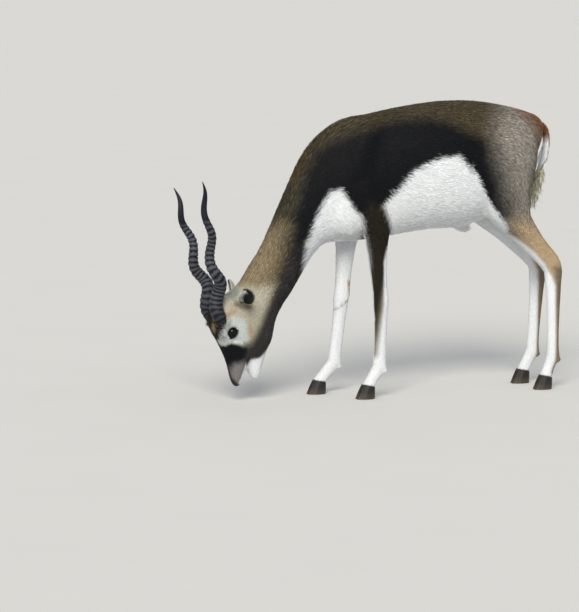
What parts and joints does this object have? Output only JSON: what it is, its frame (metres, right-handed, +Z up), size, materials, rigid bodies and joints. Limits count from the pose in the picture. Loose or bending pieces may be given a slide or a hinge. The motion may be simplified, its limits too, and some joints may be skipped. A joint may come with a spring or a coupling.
{
  "type": "blackbuck figure",
  "caption": "Life-size grazing antelope with ringed spiral horns, head lowered to the ground, standing square on cloven hooves.",
  "frame": {"origin": "on the floor, under the middle of the bounding box", "axes": "+Z up, the animal faces -X, its left side is -Y"},
  "size_m": [1.0897, 0.331, 0.8106],
  "materials": {
    "coat_brown": "short brown-black hair, matt",
    "coat_tan": "short tan hair, matt",
    "coat_white": "short white hair, matt",
    "horn": "ringed keratin, satin",
    "eye": "dark and wet",
    "hoof": "dark keratin, satin"
  },
  "bodies": {
    "root": {"torso": "coat_brown", "head": "coat_tan", "neck": "coat_tan", "ear_left": "coat_tan", "ear_right": "coat_tan", "foreleg_left": "coat_white", "foreleg_right": "coat_white", "hindleg_left": "coat_white", "hindleg_right": "coat_white", "tail": "coat_white", "horn_left": "horn", "horn_right": "horn", "eye_left": "eye", "eye_right": "eye", "hoof_fore_left_inner": "hoof", "hoof_fore_left_outer": "hoof", "hoof_fore_right_inner": "hoof", "hoof_fore_right_outer": "hoof", "hoof_hind_left_inner": "hoof", "hoof_hind_left_outer": "hoof", "hoof_hind_right_inner": "hoof", "hoof_hind_right_outer": "hoof"}
  },
  "joints": []
}
